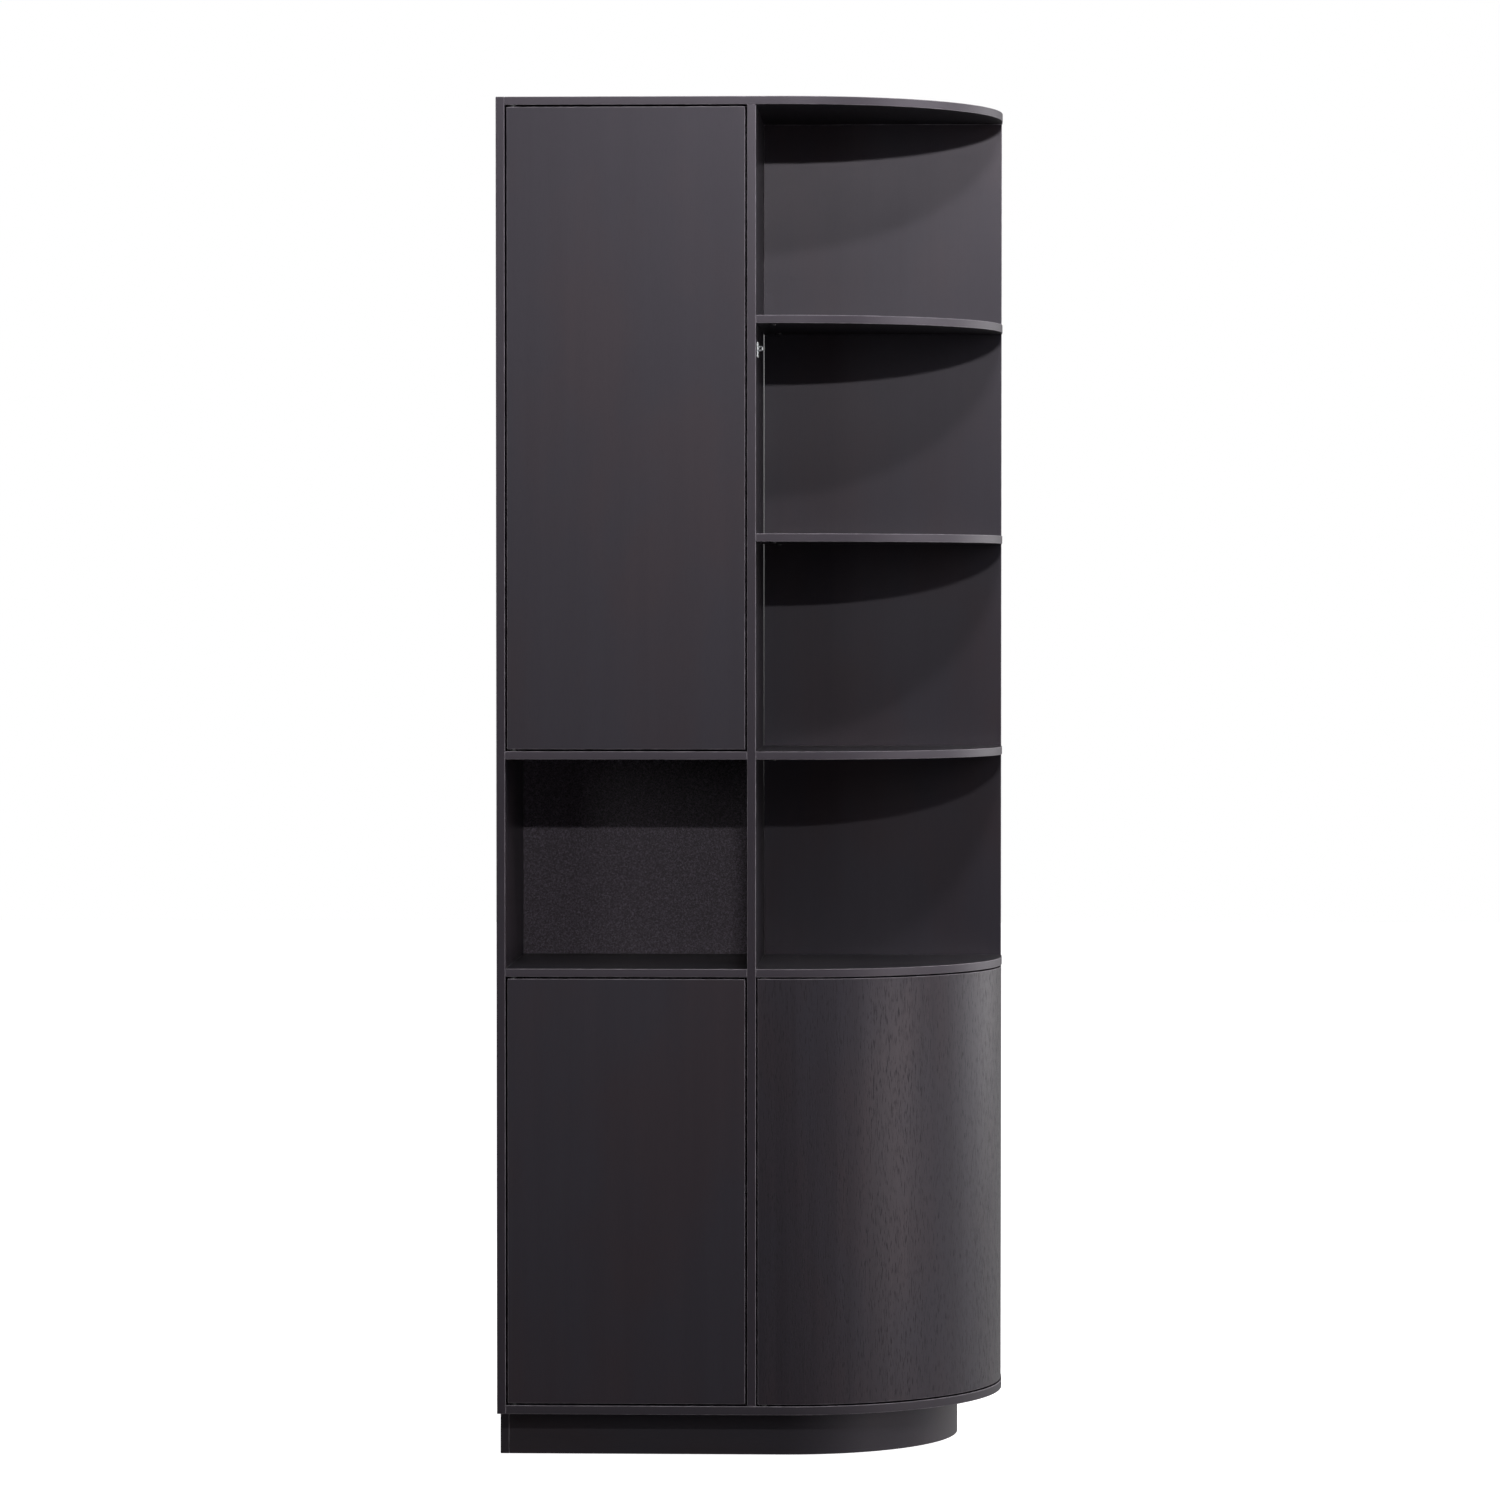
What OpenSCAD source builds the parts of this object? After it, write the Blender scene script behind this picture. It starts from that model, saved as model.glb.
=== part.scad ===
// Tall handle-less cabinet with a rounded right end.
// The left bay has an upper door, an open cubby and a lower door. The right bay has four
// open compartments on quarter-round shelves, over a compartment with a curved door.
// The modules measure from the left front corner on the floor: X to the right, Y to the
// back, Z up. place() then moves a piece so that the origin is the middle of the footprint.

/* [Body] */
// Overall width
body_w = 800; // [790:5:840]
// Overall depth
body_d = 400; // [395:1:420]
// Radius of the rounded right end
end_r = 350; // [330:5:355]
// Clear width of the left bay, from the side panel to the divider
left_bay_w = 381.5; // [375:0.5:390]
// Thickness of the side panel, divider, bottom board and right back panel
board_t = 14; // [14:0.5:16]
// Thickness of the top board and the shelves
shelf_t = 13; // [13:0.5:14]
// Thickness of the left back panel
back_t = 4; // [3:0.5:5]
// Widest gap between the right back panel and the divider
back_gap = 0.7; // [0.5:0.1:1.5]

/* [Heights] */
// Height of the plinth
plinth_h = 73; // [66:1:90]
// Clear height of the two lower compartments that have doors
low_clear_h = 678; // [640:1:700]
// Clear height of an open compartment
open_clear_h = 330; // [320:1:345]
// Drop of the upper loose shelf below the top of the upper open shelf
high_shelf_drop = 1; // [0:1:10]
// Drop of the second loose shelf below the second open shelf
mid_shelf_drop = 5; // [0:1:10]
// Height of the lower loose shelves above the bottom board
low_shelf_rise = 333; // [250:1:400]

/* [Plinth] */
// Distance of the plinth from the front and from the rounded end
plinth_recess = 72; // [60:1:80]

/* [Doors] */
// Thickness of the doors
door_t = 14; // [14:0.5:15]
// Gap around the two flat doors
door_gap = 3; // [3:0.1:3.5]
// Gap around the curved door
round_gap = 2.5; // [2.5:0.1:3]
// Distance of the doors behind the edges of the boards
door_inset = 1; // [0.5:0.1:1.5]

/* [Fittings] */
// Diameter of the hinge pins
pin_d = 6; // [5:0.5:7]
// Running clearance on the radius of a hinge pin and of a latch plunger
run_gap = 0.05; // [0.02:0.01:0.08]
// Diameter of the shelf pins
shelf_pin_d = 5; // [4:0.5:5]
// Diameter of the cam discs
cam_d = 12; // [11:0.5:13]
// Distance of a cam disc from the end of its board
cam_back = 25; // [22:0.5:30]
// Stroke of the latch plungers
latch_stroke = 3; // [2:0.5:3]

/* [Hidden] */

$fn = 64;
eps = 0.5;
black = "#2e2b2f";
veneer = "#353236";
steel = "#b9bbbe";
nylon = "#3a3a3c";
beech = "#c9a777";

// Levels: undersides, upwards from the floor
z_bottom = plinth_h;
z_low = z_bottom + board_t;
z_shelf_4 = z_low + low_clear_h;
shelf_pitch = shelf_t + open_clear_h;
z_shelf_3 = z_shelf_4 + shelf_pitch;
z_shelf_2 = z_shelf_3 + shelf_pitch;
z_shelf_1 = z_shelf_2 + shelf_pitch;
z_top = z_shelf_1 + shelf_pitch;
body_h = z_top + shelf_t;
shelf_levels = [z_shelf_1, z_shelf_2, z_shelf_3, z_shelf_4];

// Widths and depths
div_x0 = board_t + left_bay_w;
div_x1 = div_x0 + board_t;
end_x = body_w - end_r;
end_y = end_r;
right_back_y = body_d - board_t;
back_setback = 4;
left_back_y = body_d - back_setback - back_t;
groove = 6;
cross_rail_x = div_x0;
plinth_back_y = right_back_y;

// Loose shelves
loose_front = 40;
loose_side = 1.5;
loose_back = 3;
z_high = z_shelf_1 - high_shelf_drop;
z_mid = z_shelf_2 - mid_shelf_drop;
z_loose_low = z_low + low_shelf_rise;
pin_hole_pitch = 32;
z_loose_round = z_loose_low + pin_hole_pitch / 2;
pin_ys = [60, 330];
pin_hole_depth = 8;
pin_back_xs = [500, 700];

// Doors
door_back = door_inset + door_t;
pin_from_edge = 9;
pin_y = door_inset + 6.5;
left_pin_x = board_t + door_gap + pin_from_edge;
round_pin_x = div_x1 + round_gap + pin_from_edge;
pin_in_door = 12;
pin_in_bush = 7;
bush_d = 9;
bush_depth = 8;
bush_flange_d = 13;
bush_flange_t = 2.2;
upper_door_z = [z_shelf_3 + shelf_t + door_gap, z_top - door_gap];
lower_door_z = [z_low + door_gap, z_shelf_4 - door_gap];
round_door_z = [z_low + round_gap, z_shelf_4 - round_gap];
round_door_end = right_back_y - round_gap;

// Each bush: its hinge pin's x, the level of the board face that it sits in, and whether
// it opens up (1) or down (-1)
bushes = [
    [left_pin_x, z_top, -1],
    [left_pin_x, z_shelf_3 + shelf_t, 1],
    [left_pin_x, z_shelf_4, -1],
    [left_pin_x, z_low, 1],
    [round_pin_x, z_shelf_4, -1],
    [round_pin_x, z_low, 1]
];

// Cam fittings: the board end, its y, the underside, the way into the board, its thickness.
// Those of the left shelves stand behind the push latch.
cam_ys_left = [60, 330];
cam_ys_shelf = [100, 330];
cam_ys_right = [35, 345];
cam_h = 10.5;
cam_channel_d = 6.5;
cam_bolt_d = 5;
cam_bolt_depth = 8.5;
cam_cap_d = 11;
cam_cap_h = 2.5;
left_shelf_cams = [for (z = [z_shelf_3, z_shelf_4]) for (y = cam_ys_shelf)
    for (side = [[board_t, 1], [div_x0, -1]]) [side[0], y, z, side[1], shelf_t]];
right_shelf_cams = [for (z = shelf_levels) for (y = cam_ys_right) [div_x1, y, z, 1, shelf_t]];
top_cams = [for (y = cam_ys_left) [board_t, y, z_top, 1, shelf_t]];
bottom_cams = [for (y = cam_ys_left) [board_t, y, z_bottom, 1, board_t]];
all_cams = concat(left_shelf_cams, right_shelf_cams, top_cams, bottom_cams);

// Dowels
dowel_d = 8;
dowel_l = 28;
dowel_shallow = 8;
dowel_ys = [120, 280];

// Screws of the right back panel
back_screw_xs = [480, 610, 740];
back_screw_d = 3.5;
back_screw_l = 40;

// Wall brackets
bracket_xs = [90, 320];
bracket_w = 24;
bracket_leg = 30;
bracket_t = 2;
wall_hole_d = 5.5;
wall_hole_drop = 18;
small_screw_d = 3;
small_screw_l = 11;

// Eye plate on the divider
eye_z = 1757;
eye_y = 62;

// Plinth fixings
block_w = 26;
block_h = 60;
block_spots = [[board_t, plinth_recess + board_t], [board_t, plinth_back_y - board_t - block_w],
    [cross_rail_x - block_w, plinth_recess + board_t],
    [cross_rail_x + board_t, plinth_back_y - board_t - block_w]];
plinth_screw_d = 4;
plinth_screw_l = 70;

// Push latches: the middle of the housing's front at the board's underside, and its turn
latch_w = 16;
latch_l = 64;
latch_ear = 9;
latch_ear_t = 3;
latch_bore_d = 8;
latch_bore_l = 54;
latch_axis = 8;
latch_out = 4.2;
latch_to_door = 6;
latch_plunger_in = 26;
striker_t = 1.5;
spring_d = 6.4;
spring_wire = 0.9;
spring_turns = 6;
spring_steps = 12;
spring_sides = 6;
spring_pitch = (latch_bore_l - latch_plunger_in - latch_stroke - eps - spring_wire) / spring_turns;
latch_x = div_x0 - 22;
upper_latch = [latch_x, door_back + latch_to_door, z_top, 0];
lower_latch = [latch_x, door_back + latch_to_door, z_shelf_4, 0];
round_latch = [body_w - door_back - latch_to_door, end_y + 16, z_shelf_4, 90];

// ---- shared shapes ----

// Moves from the corner that the modules measure from to the middle of the footprint
module place() translate([-body_w / 2, -body_d / 2, 0]) children();

// Box between two corners
module box(from, to) translate(from) cube(to - from);

// Outline of a board with the rounded end, from x0 to the right and back to y1, moved in
// from the front and the end by inset
module end_outline(x0, y1, inset = 0) {
    translate([x0, inset]) square([end_x - x0, y1 - inset]);
    intersection() {
        translate([end_x, end_y]) circle(r = end_r - inset, $fn = 180);
        translate([end_x, inset]) square([end_r, y1 - inset]);
    }
    translate([end_x, end_y]) square([end_r - inset, y1 - end_y]);
}

// Board with the rounded end
module end_board(x0, y1, z, t, inset = 0) {
    translate([0, 0, z]) linear_extrude(t) end_outline(x0, y1, inset);
}

// Countersunk screw that points down from the origin
module screw(d, l) {
    head_d = 2 * d;
    head_h = d / 2;
    difference() {
        union() {
            translate([0, 0, -head_h]) cylinder(d1 = d, d2 = head_d, h = head_h);
            translate([0, 0, -l + d]) cylinder(d = d, h = l - d);
            translate([0, 0, -l]) cylinder(d1 = d / 4, d2 = d, h = d);
        }
        for (turn = [0, 90]) rotate(turn) translate([-d / 2, -d / 12, -d / 3])
            cube([d, d / 6, d]);
    }
}

// The space a screw takes
module screw_hole(d, l) {
    translate([0, 0, -d / 2]) cylinder(d1 = d, d2 = 2 * d, h = d / 2);
    translate([0, 0, -l]) cylinder(d = d, h = l);
}

// Puts the children at each cam fitting, with X into the board and Z up from its underside
module at_cams(cams) for (c = cams)
    translate([c[0], c[1], c[2]]) mirror([c[3] < 0 ? 1 : 0, 0, 0]) children();

// Holes of the cam fittings in the board itself
module cam_board_holes(cams) for (c = cams) at_cams([c]) {
    translate([cam_back, 0, -eps]) cylinder(d = cam_d, h = cam_h + eps);
    translate([-eps, 0, c[4] / 2]) rotate([0, 90, 0]) cylinder(d = cam_channel_d, h = cam_back);
}

// Holes of the cam bolts in the panel that the board meets
module cam_panel_holes(cams) for (c = cams) at_cams([c])
    translate([-cam_bolt_depth, 0, c[4] / 2]) rotate([0, 90, 0])
        cylinder(d = cam_bolt_d, h = cam_bolt_depth + eps);

// Upright dowels between the divider and the top and bottom boards
module upright_dowels() for (y = dowel_ys) {
    translate([div_x0 + board_t / 2, y, z_top + dowel_shallow - dowel_l])
        cylinder(d = dowel_d, h = dowel_l);
    translate([div_x0 + board_t / 2, y, z_low - dowel_shallow]) cylinder(d = dowel_d, h = dowel_l);
}

// Level dowels between the side panel and the top and bottom boards
module level_dowels() for (y = dowel_ys) for (z = [z_top + shelf_t / 2, z_bottom + board_t / 2])
    translate([board_t - dowel_shallow, y, z]) rotate([0, 90, 0]) cylinder(d = dowel_d, h = dowel_l);

// Rows of three pin holes for the loose shelf at level z, in the panel face at x
module pin_rows(x, z) for (y = pin_ys) for (row = [-1:1])
    translate([x, y, z - shelf_pin_d / 2 + row * pin_hole_pitch]) rotate([0, 90, 0])
        cylinder(d = shelf_pin_d, h = 2 * pin_hole_depth, center = true);

// Rows of pin holes for the round loose shelf, in the right back panel
module back_pin_rows() for (x = pin_back_xs) for (row = [-1:1])
    translate([x, right_back_y, z_loose_round - shelf_pin_d / 2 + row * pin_hole_pitch])
        rotate([90, 0, 0]) cylinder(d = shelf_pin_d, h = 2 * pin_hole_depth, center = true);

// Pin with a collar: the first part along +Z goes into its hole
module shelf_pin() {
    translate([0, 0, -7]) cylinder(d1 = shelf_pin_d - 1, d2 = shelf_pin_d, h = 1);
    translate([0, 0, -6]) cylinder(d = shelf_pin_d, h = 6 + pin_hole_depth);
    translate([0, 0, -1]) cylinder(d = shelf_pin_d + 2, h = 1);
}

// Bores for the hinge bushes in the boards
module bush_holes() for (b = bushes)
    translate([b[0], pin_y, b[1]]) cylinder(d = bush_d, h = 2 * bush_depth, center = true);

// Groove for the left back panel
module back_groove() box([board_t - groove, left_back_y, z_low - groove],
    [div_x0 + groove, left_back_y + back_t, z_top + groove]);

// Puts the children at a push latch, with its front towards -Y and Z up to the board
module at_latch(latch) translate([latch[0], latch[1], latch[2]]) rotate([0, 0, latch[3]]) children();

// Pilot holes of a latch's two screws
module latch_pilots(latch) at_latch(latch) latch_screw_spots()
    translate([0, 0, -latch_ear_t]) mirror([0, 0, 1]) screw_hole(small_screw_d, small_screw_l);

module latch_screw_spots() for (side = [-1, 1])
    translate([side * (latch_w + latch_ear) / 2, latch_l / 2, 0]) children();

// Screw spots of a striker, with the screw's head towards the latch
module striker_screw_spots() for (side = [-1, 1])
    translate([side * 9, striker_t - latch_to_door, -11]) rotate([-90, 0, 0]) children();

// Screw spots of the eye plate, with the screw's head away from the divider
module eye_screw_spots() for (side = [-1, 1])
    translate([div_x1 + 1.5, eye_y + 28, eye_z - 1.5 + side * 7]) rotate([0, 90, 0]) children();

module back_screw_spots() for (z = shelf_levels) for (x = back_screw_xs)
    translate([x, body_d, z + shelf_t / 2]) rotate([-90, 0, 0]) children();

module plinth_screw_spots() for (spot = block_spots)
    translate([spot[0] + block_w / 2, spot[1] + block_w / 2, z_bottom - block_h])
        mirror([0, 0, 1]) children();

// ---- carcass ----

module left_side_panel() color(black) place() difference() {
    box([0, 0, z_bottom], [board_t, body_d, body_h]);
    cam_panel_holes(concat(left_shelf_cams, top_cams, bottom_cams));
    level_dowels();
    back_groove();
    for (z = [z_high, z_mid, z_loose_low]) pin_rows(board_t, z);
}

module middle_divider() color(black) place() difference() {
    box([div_x0, 0, z_low], [div_x1, body_d, z_top]);
    cam_panel_holes(concat(left_shelf_cams, right_shelf_cams));
    upright_dowels();
    back_groove();
    for (z = [z_high, z_mid, z_loose_low]) pin_rows(div_x0, z);
    pin_rows(div_x1, z_loose_round);
    eye_screw_spots() screw_hole(small_screw_d, small_screw_l);
}

module top_board() color(black) place() difference() {
    end_board(board_t, body_d, z_top, shelf_t);
    cam_board_holes(top_cams);
    level_dowels();
    upright_dowels();
    back_groove();
    bush_holes();
    latch_pilots(upper_latch);
    bracket_screw_spots() screw_hole(small_screw_d, small_screw_l);
}

module bottom_board() color(black) place() difference() {
    end_board(board_t, body_d, z_bottom, board_t);
    cam_board_holes(bottom_cams);
    level_dowels();
    upright_dowels();
    back_groove();
    bush_holes();
    plinth_screw_spots() screw_hole(plinth_screw_d, plinth_screw_l);
}

module right_shelf(z) color(black) place() difference() {
    end_board(div_x1, right_back_y, z, shelf_t);
    cam_board_holes([for (c = right_shelf_cams) if (c[2] == z) c]);
    back_screw_spots() screw_hole(back_screw_d, back_screw_l);
    bush_holes();
    latch_pilots(round_latch);
}

module right_shelf_1() right_shelf(z_shelf_1);
module right_shelf_2() right_shelf(z_shelf_2);
module right_shelf_3() right_shelf(z_shelf_3);
module right_shelf_4() right_shelf(z_shelf_4);

module left_shelf(z) color(black) place() difference() {
    box([board_t, 0, z], [div_x0, left_back_y, z + shelf_t]);
    cam_board_holes([for (c = left_shelf_cams) if (c[2] == z) c]);
    bush_holes();
    latch_pilots(lower_latch);
}

module left_shelf_upper() left_shelf(z_shelf_3);
module left_shelf_lower() left_shelf(z_shelf_4);

module left_back_panel() color(black) place() difference() {
    back_groove();
    wall_holes();
}

// The left edge stands off the divider below the first shelf and closes near the fourth
module right_back_panel() color(black) place() difference() {
    translate([0, body_d, 0]) rotate([90, 0, 0]) linear_extrude(board_t) polygon([
        [div_x1, z_low], [body_w - 1, z_low], [body_w - 1, z_top], [div_x1, z_top],
        [div_x1, z_shelf_1 + shelf_t / 2], [div_x1 + back_gap, z_shelf_1 + shelf_t / 2],
        [div_x1 + back_gap, z_shelf_3], [div_x1, z_shelf_4 + open_clear_h / 3]
    ]);
    back_screw_spots() screw_hole(back_screw_d, back_screw_l);
    back_pin_rows();
}

// ---- loose shelves ----

module loose_shelf(z) color(black) place() box([board_t + loose_side, loose_front, z],
    [div_x0 - loose_side, left_back_y - loose_back, z + shelf_t]);

module loose_shelf_high() loose_shelf(z_high);
module loose_shelf_mid() loose_shelf(z_mid);
module loose_shelf_low() loose_shelf(z_loose_low);

module loose_shelf_round() color(black) place()
    end_board(div_x1 + loose_side, right_back_y - loose_side, z_loose_round, shelf_t, loose_front);

// ---- plinth ----

module plinth_skirt() color(black) place() difference() {
    end_board(board_t, plinth_back_y, 0, plinth_h, plinth_recess);
    translate([0, 0, -eps]) linear_extrude(plinth_h + 2 * eps)
        end_outline(0, plinth_back_y + eps, plinth_recess + board_t);
}

module plinth_left_board() color(black) place()
    box([0, plinth_recess, 0], [board_t, plinth_back_y, plinth_h]);

module plinth_back_board() color(black) place() box([board_t, plinth_back_y - board_t, 0],
    [body_w - plinth_recess - board_t, plinth_back_y, plinth_h]);

module plinth_cross_rail() color(black) place() box([cross_rail_x, plinth_recess + board_t, 0],
    [cross_rail_x + board_t, plinth_back_y - board_t, plinth_h]);

module plinth_glue_blocks() color(beech) place() difference() {
    for (spot = block_spots) translate([spot[0], spot[1], z_bottom - block_h])
        cube([block_w, block_w, block_h]);
    plinth_screw_spots() screw_hole(plinth_screw_d, plinth_screw_l);
}

module plinth_screws() color(steel) place()
    plinth_screw_spots() screw(plinth_screw_d, plinth_screw_l);

// ---- connectors ----

module cam_discs() color(steel) place() for (c = all_cams) at_cams([c]) difference() {
    translate([cam_back, 0, 0]) cylinder(d = cam_d, h = cam_h);
    translate([0, 0, c[4] / 2]) rotate([0, 90, 0]) cylinder(d = cam_bolt_d, h = cam_back + 2);
}

module cam_caps() color(nylon) place() at_cams(all_cams) translate([cam_back, 0, 0]) {
    translate([0, 0, -cam_cap_h]) cylinder(d1 = cam_cap_d - 2, d2 = cam_cap_d, h = 1);
    translate([0, 0, 1 - cam_cap_h]) cylinder(d = cam_cap_d, h = cam_cap_h - 1);
}

module cam_bolts() color(steel) place() for (c = all_cams) at_cams([c])
    translate([0, 0, c[4] / 2]) rotate([0, 90, 0]) {
        translate([0, 0, -cam_bolt_depth]) cylinder(d = cam_bolt_d, h = cam_bolt_depth);
        cylinder(d = cam_bolt_d - 2, h = cam_back - 1);
        translate([0, 0, cam_back - 1]) cylinder(d = cam_bolt_d, h = 3);
    }

module dowels() color(beech) place() {
    upright_dowels();
    level_dowels();
}

module shelf_pins() color(steel) place() {
    for (z = [z_high, z_mid, z_loose_low]) for (y = pin_ys) {
        translate([board_t, y, z - shelf_pin_d / 2]) rotate([0, -90, 0]) shelf_pin();
        translate([div_x0, y, z - shelf_pin_d / 2]) rotate([0, 90, 0]) shelf_pin();
    }
    for (y = pin_ys) translate([div_x1, y, z_loose_round - shelf_pin_d / 2])
        rotate([0, -90, 0]) shelf_pin();
    for (x = pin_back_xs) translate([x, right_back_y, z_loose_round - shelf_pin_d / 2])
        rotate([-90, 0, 0]) shelf_pin();
}

module back_panel_screws() color(steel) place() back_screw_spots()
    screw(back_screw_d, back_screw_l);

// ---- wall brackets and eye plate ----

module wall_holes() for (x = bracket_xs)
    translate([x, left_back_y - bracket_t - eps, z_top - wall_hole_drop]) rotate([-90, 0, 0])
        cylinder(d = wall_hole_d, h = bracket_t + back_t + 2 * eps);

module bracket_screw_spots() for (x = bracket_xs)
    translate([x, left_back_y - bracket_leg / 2, z_top - bracket_t]) mirror([0, 0, 1]) children();

module wall_brackets() color(steel) place() difference() {
    for (x = bracket_xs) translate([x - bracket_w / 2, left_back_y, z_top]) {
        translate([0, -bracket_leg, -bracket_t]) cube([bracket_w, bracket_leg, bracket_t]);
        translate([0, -bracket_t, -bracket_leg]) cube([bracket_w, bracket_t, bracket_leg]);
    }
    wall_holes();
    bracket_screw_spots() screw_hole(small_screw_d, small_screw_l);
}

module bracket_screws() color(steel) place() bracket_screw_spots()
    screw(small_screw_d, small_screw_l);

module eye_plate() color(steel) place() difference() {
    union() {
        box([div_x1, eye_y - 2, eye_z - 13], [div_x1 + 1.5, eye_y + 38, eye_z + 10]);
        translate([div_x1 + 4.8, eye_y, eye_z]) rotate([90, 0, 0]) rotate_extrude()
            translate([3.2, 0]) circle(r = 1.5, $fn = 32);
    }
    eye_screw_spots() screw_hole(small_screw_d, small_screw_l);
    box([div_x1 - 5, eye_y - 10, eye_z - 20], [div_x1, eye_y + 40, eye_z + 20]);
}

module eye_plate_screws() color(steel) place() eye_screw_spots()
    screw(small_screw_d, small_screw_l);

// ---- doors ----

module hinge_bushes() color(nylon) place() for (b = bushes)
    translate([b[0], pin_y, b[1]]) mirror([0, 0, b[2] < 0 ? 1 : 0]) difference() {
        union() {
            translate([0, 0, -bush_depth]) cylinder(d = bush_d, h = bush_depth);
            cylinder(d = bush_flange_d, h = bush_flange_t);
        }
        translate([0, 0, -bush_depth + 0.5]) cylinder(d = pin_d + 2 * run_gap, h = 2 * bush_depth);
    }

// The two pins of a door whose lower and upper edges are at z
module door_pins(x, z, gap) color(steel) place() {
    length = pin_in_door + gap + pin_in_bush;
    translate([x, pin_y, z[0] - gap - pin_in_bush]) cylinder(d = pin_d, h = length);
    translate([x, pin_y, z[1] - pin_in_door]) cylinder(d = pin_d, h = length);
}

module door_pin_holes(x, z) {
    translate([x, pin_y, z[0] - eps]) cylinder(d = pin_d, h = pin_in_door + eps);
    translate([x, pin_y, z[1] - pin_in_door]) cylinder(d = pin_d, h = pin_in_door + eps);
}

module flat_door(z, latch) color(veneer) place() difference() {
    box([board_t + door_gap, door_inset, z[0]], [div_x0 - door_gap, door_back, z[1]]);
    door_pin_holes(left_pin_x, z);
    at_latch(latch) striker_screw_spots() screw_hole(small_screw_d, small_screw_l);
}

module upper_door() flat_door(upper_door_z, upper_latch);
module upper_door_pins() door_pins(left_pin_x, upper_door_z, door_gap);
module lower_door() flat_door(lower_door_z, lower_latch);
module lower_door_pins() door_pins(left_pin_x, lower_door_z, door_gap);

module round_door() color(veneer) place() difference() {
    end_board(div_x1 + round_gap, round_door_end, round_door_z[0],
        round_door_z[1] - round_door_z[0], door_inset);
    translate([0, 0, z_low]) linear_extrude(low_clear_h)
        end_outline(0, round_door_end + eps, door_back);
    door_pin_holes(round_pin_x, round_door_z);
    at_latch(round_latch) striker_screw_spots() screw_hole(small_screw_d, small_screw_l);
}

module round_door_pins() door_pins(round_pin_x, round_door_z, round_gap);

module striker(latch) color(steel) place() at_latch(latch) difference() {
    box([-13, -latch_to_door, -18], [13, striker_t - latch_to_door, -4]);
    striker_screw_spots() screw_hole(small_screw_d, small_screw_l);
}

module striker_screws(latch) color(steel) place() at_latch(latch) striker_screw_spots()
    screw(small_screw_d, small_screw_l);

module upper_striker() striker(upper_latch);
module upper_striker_screws() striker_screws(upper_latch);
module lower_striker() striker(lower_latch);
module lower_striker_screws() striker_screws(lower_latch);
module round_striker() striker(round_latch);
module round_striker_screws() striker_screws(round_latch);

// ---- push latches ----

module latch_housing(latch) color(nylon) place() at_latch(latch) difference() {
    union() {
        box([-latch_w / 2, 0, -latch_w], [latch_w / 2, latch_l, 0]);
        box([-latch_w / 2 - latch_ear, latch_l / 2 - 8, -latch_ear_t],
            [latch_w / 2 + latch_ear, latch_l / 2 + 8, 0]);
    }
    translate([0, -eps, -latch_axis]) rotate([-90, 0, 0])
        cylinder(d = latch_bore_d + 2 * run_gap, h = latch_bore_l + eps);
    latch_screw_spots() translate([0, 0, -latch_ear_t]) mirror([0, 0, 1])
        screw_hole(small_screw_d, small_screw_l);
}

module latch_plunger(latch) color(steel) place() at_latch(latch)
    translate([0, -latch_out, -latch_axis]) rotate([-90, 0, 0]) difference() {
        cylinder(d = latch_bore_d, h = latch_out + latch_plunger_in);
        translate([0, 0, -eps]) cylinder(d = 4, h = 1 + eps);
    }

// One point on the wire's surface: the coil runs along +Z, and each ring of the wire has
// its sides numbered round it
function coil_point(step, side) =
    let (turn = 360 * step / spring_steps, angle = 360 * side / spring_sides)
    let (reach = (spring_d - spring_wire) / 2 + spring_wire / 2 * cos(angle))
    [reach * cos(turn), reach * sin(turn),
        spring_pitch * step / spring_steps + spring_wire / 2 * (1 + sin(angle))];

// The coil is shorter than the bore behind the plunger by the stroke and a little more
module latch_spring(latch) color(steel) place() at_latch(latch)
    translate([0, latch_plunger_in, -latch_axis]) rotate([-90, 0, 0]) {
        last = spring_turns * spring_steps;
        polyhedron([for (step = [0:last]) for (side = [0:spring_sides - 1]) coil_point(step, side)],
            concat([[for (side = [0:spring_sides - 1]) side]],
                [for (step = [0:last - 1]) for (side = [0:spring_sides - 1])
                    let (next = (side + 1) % spring_sides, a = step * spring_sides)
                    let (b = a + spring_sides)
                    each [[a + side, b + side, b + next], [a + side, b + next, a + next]]],
                [[for (side = [0:spring_sides - 1]) (last + 1) * spring_sides - 1 - side]]));
    }

module upper_latch_housing() latch_housing(upper_latch);
module lower_latch_housing() latch_housing(lower_latch);
module round_latch_housing() latch_housing(round_latch);
module upper_latch_plunger() latch_plunger(upper_latch);
module lower_latch_plunger() latch_plunger(lower_latch);
module round_latch_plunger() latch_plunger(round_latch);
module upper_latch_spring() latch_spring(upper_latch);
module lower_latch_spring() latch_spring(lower_latch);
module round_latch_spring() latch_spring(round_latch);

module latch_screws() color(steel) place() for (latch = [upper_latch, lower_latch, round_latch])
    at_latch(latch) latch_screw_spots() translate([0, 0, -latch_ear_t]) mirror([0, 0, 1])
        screw(small_screw_d, small_screw_l);

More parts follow.
